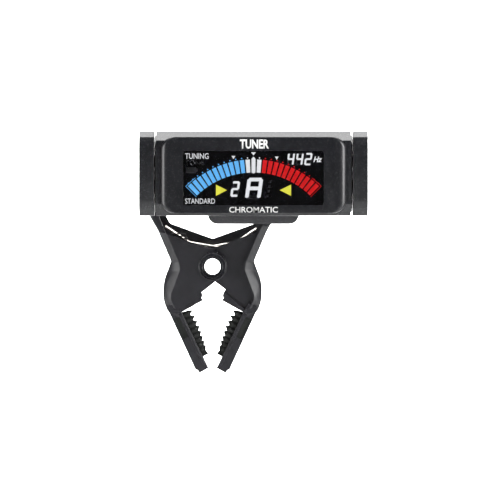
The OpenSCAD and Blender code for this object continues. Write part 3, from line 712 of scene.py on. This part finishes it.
def make_right_jaw():
    """The jaw that carries the yoke: its ears fit inside the other's plates, and a boss takes the swivel."""
    side, bore = 1, 3.4
    jaw = jaw_shell("right_jaw_skin", side)
    cut(jaw, slab("cavity", CAVITY, -EAR_IN, EAR_IN, side))
    ear_side = rounded([
        (9.2, 0.3, 1.5), (13, -9.9, 1.5), (11.6, -12.4, 0.5), (10.2, -13.4, 0), (-12, -26, 0),
        (-12, 26, 0), (16.6, 26, 0), (16.6, 15, 1), (14.2, 10.6, 4),
    ], 6)
    step_wide, step_deep = 0.45, 0.7
    step = inset(ear_side, -step_wide)
    for way in (-1, 1):
        for outline, start in ((ear_side, EAR_OUT), (step, EAR_OUT + step_deep)):
            low, high = sorted((way * start, way * THROUGH))
            cut(jaw, prism("ear_side", outline, low, high, AT_PIVOT))
    opening = rounded([
        (1.15, 6.2, 1.0), (12, 10.3, 0), (14, 11, 0), (14, 26, 0), (-8, 26, 0), (-8, 6.2, 0),
    ], 6)
    cut(jaw, prism("opening", opening, -THROUGH, -EAR_IN, AT_PIVOT))
    cut(jaw, slab("past", PAST_PIVOT, -THROUGH, THROUGH, side))
    below = [(-2, -4.3), (0.75, -4.75), (4.1, -7.3), (3.2, -9.2), (-2, -9.2)]
    cut(jaw, prism("below", below, -THROUGH, THROUGH, AT_PIVOT))
    boss_front = SWIVEL.y
    at = (HEAD.x, 0, HEAD.z)
    swivel_z = -5.4
    boss_levels = ((0, 7.7), (0.3, 8), (3.6, 8), (4, 7.6))
    boss = loft("boss", [(boss_front + y, circle(0, swivel_z, r, 96)) for y, r in boss_levels], at)
    neck = rounded([(2, -12.9, 0), (3.3, -17, 1), (9, -14, 1), (8.6, -9.4, 0), (8, -4.4, 0)], 6)
    union(boss, prism("neck", neck, boss_front + 1.2, boss_front + 3.7, at))
    cut(boss, rod("screw_hole", 0, swivel_z, 2.5, boss_front - 1, boss_front + 3, at))
    return add_parts(jaw, bore, lobes(side, EAR_IN, EAR_OUT, bore) + [arm_pieces(side), boss])


for make, name, body in ((make_left_jaw, "left_jaw", "moving_jaw"), (make_right_jaw, "right_jaw", "clip")):
    jaw = make()
    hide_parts(name)
    finish_piece(jaw, body, CLIP)


# ---------------------------------------------------------------- rubber pads
TEETH = 8
PAD_ROOT, PAD_START, PAD_END = 3.8, 3.35, 19.1


def tooth_place(i):
    """How far along the arm tooth i stands; the teeth come closer towards the tip."""
    return 4.2 + 1.95 * i - 0.03 * i * i


def tooth_height(i):
    return 1.15 - 0.09 * i


def pad_line(s):
    """How far across the arm the tips of the teeth reach at s: level, then falling towards the tip."""
    level, falls_from, slope = 7.2, 9.8, 0.147
    return level - max(0, s - falls_from) * slope


def toothed(drop, height=1.0):
    """The outline of a strip with its row of teeth; drop lowers their tips, and height scales them."""
    points = [(PAD_START, PAD_ROOT)]
    for i in range(TEETH):
        s = tooth_place(i)
        tip = pad_line(s) - drop
        tall = tooth_height(i) * height
        points += [(s - 0.5, tip - tall), (s - 0.04, tip - 0.12), (s + 0.05, tip), (s + 0.2, tip)]
        points += [(s + 0.34, tip - 0.2), (s + 0.62, tip - tall * 0.65), (s + 1.0, tip - tall)]
    top = pad_line(PAD_END) - drop
    points += [(17.6, top - 0.3), (PAD_END - 0.1, top), (PAD_END, top - 0.15), (PAD_END, PAD_ROOT)]
    return [arm_point(s, t) for s, t in points]


def make_pad(side, name, body):
    """A middle row of teeth on a lower one, knobs on both sides, and the plugs in the arm's windows."""
    middle_y, knob_y, knob_half = 2.7, 3.3, 0.55
    pad = slab(name + "_skin", toothed(0), -middle_y, middle_y, side, 0.05)
    union(pad, slab("base", toothed(2.05, 0.2), -PAD_Y, PAD_Y, side, 0.1))
    for y0, y1 in ((-PAD_Y, -knob_y), (knob_y, PAD_Y)):
        for i in range(TEETH):
            s = tooth_place(i) + knob_half
            tip = pad_line(tooth_place(i)) - 1.35 + 0.03 * i
            low, high = s - knob_half, s + knob_half
            knob = arm_outline([(low, 3.9, 0), (low, tip, 0.25), (high, tip, 0.25), (high, 3.9, 0)], 3)
            union(pad, slab("knob", knob, y0, y1, side, 0.15))
    soften(pad, 0)
    plug = inset(ARM_WINDOW, 0.02)
    sunk, back = ARM_Y - 0.6, ARM_Y - 1
    join(pad, [slab("plug", plug, -sunk, -back, side), slab("plug", plug, back, sunk, side)])
    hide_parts(name)
    finish_piece(pad, body, RUBBER)


make_pad(-1, "left_pad", "moving_jaw")
make_pad(1, "right_pad", "clip")


# ---------------------------------------------------------------- pivot sleeve and spring
def make_sleeve():
    """The hollow pivot: a flange with a raised rim and a sunk middle in front, a plain flange behind."""
    profile = [
        (-6.3, 2.55), (-6.42, 2.62), (-6.45, 2.75), (-6.45, 3.2), (-6.5, 3.28), (-7.05, 3.34),
        (-7.12, 3.42), (-7.12, 4.02), (-7.2, 4.1), (-7.36, 4.13), (-7.44, 4.22), (-7.45, 4.32),
        (-7.42, 4.43), (-7.32, 4.5), (-PLATE_OUT, 4.5), (-PLATE_OUT, 3.4),
        (PLATE_OUT, 3.4), (PLATE_OUT, 4.5), (7.32, 4.5), (7.42, 4.43),
        (7.45, 4.32), (7.45, 2.75), (7.4, 2.62), (7.25, 2.55),
    ]
    sleeve = lathe_y("pivot_sleeve_skin", profile)
    tab = rounded([(-1.85, 3.6, 0), (1.85, 3.6, 0), (1.7, 4.95, 0.4), (-1.7, 4.95, 0.4)], 4)
    union(sleeve, prism("tab", tab, -7.38, -7.01, AT_PIVOT))
    soften(sleeve, 0)
    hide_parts("pivot_sleeve")
    finish_piece(sleeve, "clip", SLEEVE)


def make_spring():
    """A coil of about four turns round the pivot, its ends bent into a straight leg in each handle."""
    coil_r, coil_z, half, lean, wire_r, bend_r = 5.35, 0.95, 2.6, 100, 0.5, 2.5
    turns = 4 - (2 * lean - 180) / 360
    steps = 240
    coil = []
    for i in range(steps + 1):
        a = math.radians(lean + 360 * turns * i / steps)
        y = half - 2 * half * i / steps
        coil.append(Vector((coil_r * math.cos(a), y, coil_z + coil_r * math.sin(a))))
    right_tip, right_knee = Vector((15.2, half, 12.9)), Vector((7.6, half, 7.7))
    left_tip, left_knee = Vector((-15.2, -half, 12.9)), Vector((-7.6, -half, 7.7))
    points = [right_tip] + bend(right_tip, right_knee, coil[0], bend_r, 8) + coil
    points += bend(coil[-1], left_knee, left_tip, bend_r, 8) + [left_tip]
    spring = tube("torsion_spring_skin", [p + Vector(AT_PIVOT) for p in points], wire_r)
    spring.data.materials.append(SPRING)
    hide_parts("torsion_spring")
    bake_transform(spring)


make_sleeve()
make_spring()


# ---------------------------------------------------------------- housings and the yoke, with eased edges
PRINT_SUNK = 0.012
EASED = [
    ("front_housing", "display", HOUSING, "housing_plastic", 0.16),
    ("rear_housing", "display", HOUSING, "housing_plastic", 0.2),
    ("battery_cover", "cover", HOUSING, "housing_plastic", 0.12),
    ("yoke_frame", "yoke", HOUSING, "housing_plastic", 0.3),
    ("left_arm_cover", "yoke", HOUSING, "housing_plastic", 0.3),
    ("right_arm_cover", "yoke", HOUSING, "housing_plastic", 0.3),
    ("swivel_cap", "yoke", HOUSING, "housing_plastic", 0.15),
    ("power_button", "power", BUTTON, "button_grey", 0.25),
    ("mode_button", "mode", BUTTON, "button_grey", 0.25),
    ("calibration_down_button", "calibration_down", BUTTON, "button_grey", 0.25),
    ("calibration_up_button", "calibration_up", BUTTON, "button_grey", 0.25),
]


def sink_face(skin):
    """Moves the head's front face back by a hair, so that the print on it stays within the CAD box."""
    for vertex in skin.data.vertices:
        vertex.co.y = max(vertex.co.y, (FACE_Y + PRINT_SUNK) * MM)


def paint_bar(skin):
    """Gives the bar behind the head a lighter base colour and a rougher surface than the housing's."""
    bar_from = HEAD.y + 13
    skin.data.materials.append(YOKE_BAR)
    for face in skin.data.polygons:
        face.material_index = int(face.center.y > bar_from * MM)


for node, body, material, slot_name, width in EASED:
    skin = refined(node, width)
    if node == "front_housing":
        sink_face(skin)
    finish_piece(skin, body, material)
    if node == "yoke_frame":
        paint_bar(skin)


# ---------------------------------------------------------------- screen
# Places on the screen are (to the right of the hinge axis' middle, above it).
def screen_marks(name, outlines, y, depth, material):
    """Thin flat shapes on the screen, as one piece."""
    bm = bmesh.new()
    for outline in outlines:
        front, back = (
            [bm.verts.new((Vector((p[0], plane, p[1])) + HEAD) * MM) for p in outline]
            for plane in (y, y + depth)
        )
        skin_ring(bm, front, back)
        cap_ends(bm, front, back)
    bmesh.ops.recalc_face_normals(bm, faces=bm.faces)
    finish_piece(new_object(name, bm), "display", material)


def turned(points, degrees, about):
    """Points turned clockwise about the origin, which is then moved to about."""
    c, s = math.cos(math.radians(degrees)), math.sin(math.radians(degrees))
    return [Vector((about[0] + x * c + z * s, about[1] - x * s + z * c)) for x, z in points]


SEGMENTS = {
    "top": ((0, 2), (1, 2)), "upper_right": ((1, 2), (1, 1)), "lower_right": ((1, 1), (1, 0)),
    "bottom": ((0, 0), (1, 0)), "lower_left": ((0, 1), (0, 0)), "upper_left": ((0, 2), (0, 1)),
    "middle": ((0, 1), (1, 1)),
}
DIGITS = {
    "2": ("top", "upper_right", "middle", "lower_left", "bottom"),
    "4": ("upper_left", "middle", "upper_right", "lower_right"),
    "A": ("top", "upper_right", "lower_right", "lower_left", "upper_left", "middle"),
    "8": tuple(SEGMENTS),
}


def digit(shape, x, z, w, h, t):
    """Outlines of the segments, t thick, that make up a character whose lower left corner is at x, z."""
    slant, gap = 0.14, 0.06
    outlines = []
    for name in DIGITS[shape]:
        (ax, az), (bx, bz) = SEGMENTS[name]
        a = Vector((t / 2 + ax * (w - t), t / 2 + az * (h - t) / 2))
        b = Vector((t / 2 + bx * (w - t), t / 2 + bz * (h - t) / 2))
        along = (b - a).normalized()
        across = Vector((-along.y, along.x)) * t / 2
        a, b = a + along * gap, b - along * gap
        lap = along * t / 2
        corners = [
            a - lap * 0.5, a + across - lap * 0.1, b + across + lap * 0.1,
            b + lap * 0.5, b - across + lap * 0.1, a - across - lap * 0.1,
        ]
        outlines.append([Vector((x + p.x + slant * p.y, z + p.y)) for p in corners])
    return outlines


def words(name, text, low, high, y, depth, material, bold=0.005, shear=0.0):
    """Words fitted into the rectangle from low to high on the head's front."""
    curve = bpy.data.curves.new(name, "FONT")
    curve.body = text
    curve.offset = bold
    curve.shear = shear
    curve.resolution_u = 3
    source = bpy.data.objects.new(name, curve)
    bpy.context.scene.collection.objects.link(source)
    mesh = bpy.data.meshes.new_from_object(source.evaluated_get(bpy.context.evaluated_depsgraph_get()))
    delete(source)
    xs, ys = [v.co.x for v in mesh.vertices], [v.co.y for v in mesh.vertices]
    bm = bmesh.new()
    bm.from_mesh(mesh)
    bmesh.ops.dissolve_limit(bm, angle_limit=math.radians(1), verts=bm.verts, edges=bm.edges)
    extruded = bmesh.ops.extrude_face_region(bm, geom=bm.faces[:])
    back = {v for v in extruded["geom"] if isinstance(v, bmesh.types.BMVert)}
    for v in bm.verts:
        x = low[0] + (v.co.x - min(xs)) / (max(xs) - min(xs)) * (high[0] - low[0])
        z = low[1] + (v.co.y - min(ys)) / (max(ys) - min(ys)) * (high[1] - low[1])
        v.co = (Vector((x, y + (depth if v in back else 0), z)) + HEAD) * MM
    bmesh.ops.recalc_face_normals(bm, faces=bm.faces)
    finish_piece(new_object(name, bm), "display", material)


SCALE_CENTRE = (0, -25.15)
SCALE_STEP = 3.58


def scale_bars():
    """The arched scale: blue, white and red bars, with a dot over each but the middle one."""
    blue, red, white = [], [], []
    side_bar = [(-0.6, 25.4), (0.6, 25.4), (0.69, 29.5), (-0.69, 29.5)]
    dot = [(-0.18, 29.85), (0.18, 29.85), (0.18, 30.2), (-0.18, 30.2)]
    middle_bar = rounded([
        (-0.62, 25.15, 0.45), (0.62, 25.15, 0.45), (0.62, 29.7, 0.1), (0, 30.4, 0.1), (-0.62, 29.7, 0.1),
    ], 3)
    for i in range(-12, 13):
        paint = white if abs(i) < 2 else blue if i < 0 else red
        for shape in ((side_bar, dot) if i else (middle_bar,)):
            paint.append(turned(shape, SCALE_STEP * i, SCALE_CENTRE))
    return blue, red, white


def end_lines(side):
    """The thin lines past the scale's last bar, one beside it and one over it, each an arc's stretch."""
    lines = []
    for first, final, r0, r1 in ((12.62, 12.7, 25.2, 30.0), (10.5, 12.7, 29.85, 30.0)):
        turns = [math.radians(SCALE_STEP * (first + (final - first) * k / 8) * side) for k in range(9)]
        rim = [(r1 * math.sin(a), r1 * math.cos(a)) for a in turns]
        foot = [(r0 * math.sin(a), r0 * math.cos(a)) for a in reversed(turns)]
        lines.append([Vector((x + SCALE_CENTRE[0], z + SCALE_CENTRE[1])) for x, z in rim + foot])
    return lines


def pointer(x, z, w):
    """A small triangle that points down at the scale."""
    return [Vector((x - w, z + 0.45)), Vector((x, z - 0.55)), Vector((x + w, z + 0.45))]


def unlit_marks():
    """Marks that the screen could show and doesn't: a slanted column of blocks, and a battery."""
    marks = []
    for i in range(4):
        block = [(3.9, -7.6), (4.8, -7.5), (5.0, -6.6), (4.1, -6.7)]
        marks.append([Vector((x + 0.25 * i, z + 1.5 * i)) for x, z in block])
    for x0, z0, x1, z1 in ((-21.3, 0.1, -18.0, 2.0), (-18.0, 0.6, -17.5, 1.5)):
        marks.append([Vector(p) for p in ((x0, z0), (x1, z0), (x1, z1), (x0, z1))])
    return marks


def make_screen():
    """What the screen shows, its unlit marks behind that, and the words printed on its surround."""
    mark_y, ghost_y, depth = -8.23, -8.215, 0.01
    # The places of the characters, as digit takes them.
    note = (-2.75, -8.1, 4.9, 6.7, 1.15)
    string = (-7.35, -7.4, 2.5, 4.9, 0.72)
    pitch = [(10.35 + 2.75 * i, 2.5, 2.2, 3.9, 0.58) for i in range(3)]
    blue, red, white = scale_bars()
    blue += end_lines(-1)
    red += end_lines(1)
    white += [pointer(0, 6.15, 0.75), pointer(-6.3, 5.0, 0.6), pointer(7.3, 4.8, 0.6)]
    white += digit("2", *string) + digit("A", *note)
    for shape, place in zip("442", pitch):
        white += digit(shape, *place)
    ghost = []
    for place in (string, note, *pitch):
        ghost += digit("8", *place)
    ghost += unlit_marks()
    yellow = [
        [Vector(p) for p in ((-11.8, -3.55), (-11.8, -7.1), (-8.3, -5.3))],
        [Vector(p) for p in ((11.8, -3.55), (8.2, -5.3), (11.8, -7.1))],
    ]
    screen_marks("lcd_blue_bars", blue, mark_y, depth, BLUE)
    screen_marks("lcd_red_bars", red, mark_y, depth, RED)
    screen_marks("lcd_white_marks", white, mark_y, depth, WHITE)
    screen_marks("lcd_yellow_arrows", yellow, mark_y, depth, YELLOW)
    screen_marks("lcd_unlit_marks", ghost, ghost_y, depth / 2, GHOST)
    words("lcd_words_upper", "TUNING", (-21.5, 4.5), (-14.1, 6.3), mark_y, depth, WHITE)
    words("lcd_words_unlit", "TONE", (-21.5, 2.5), (-15.6, 4.1), ghost_y, depth / 2, GHOST, 0.02)
    words("lcd_words_lower", "STANDARD", (-21.5, -9.6), (-12.1, -7.9), mark_y, depth, WHITE)
    words("lcd_hertz", "Hz", (18.8, 3.5), (21.6, 5.3), mark_y, depth, WHITE, 0.03, shear=0.3)
    print_y, print_deep = FACE_Y - HEAD.y, 0.03
    for name, text, low, high, bold in (
        ("bezel_word_upper", "TUNER", (-4.3, 7.7), (4.8, 10.6), 0.03),
        ("bezel_word_lower", "CHROMATIC", (-7.65, -12.35), (7.65, -10.55), 0.012),
    ):
        words(name, text, low, high, print_y, print_deep, PRINT, bold)


make_screen()


# ---------------------------------------------------------------- CAD nodes that keep their shape
KEPT = {
    "display_lens": LENS, "lcd_panel": LCD, "lcd_frame": FRAME_WHITE, "backlight_guide": GUIDE,
    "main_board": BOARD, "board_chips": CHIP, "tact_switches": SWITCH, "board_screws": STEEL,
    "housing_screws": STEEL, "piezo_plate": BRASS, "piezo_ceramic": CERAMIC, "piezo_leads": WIRE_RED,
    "battery_cell": CELL, "battery_plus_contact": CONTACT, "battery_minus_spring": CONTACT,
    "left_hinge_pin": STEEL, "right_hinge_pin": STEEL, "hinge_spring_washers": STEEL,
    "swivel_screw": STEEL, "swivel_spring_washer": STEEL, "swivel_friction_washer": NYLON,
}
for node, material in KEPT.items():
    for material_slot in frame["nodes"][node].material_slots:
        material_slot.material = material
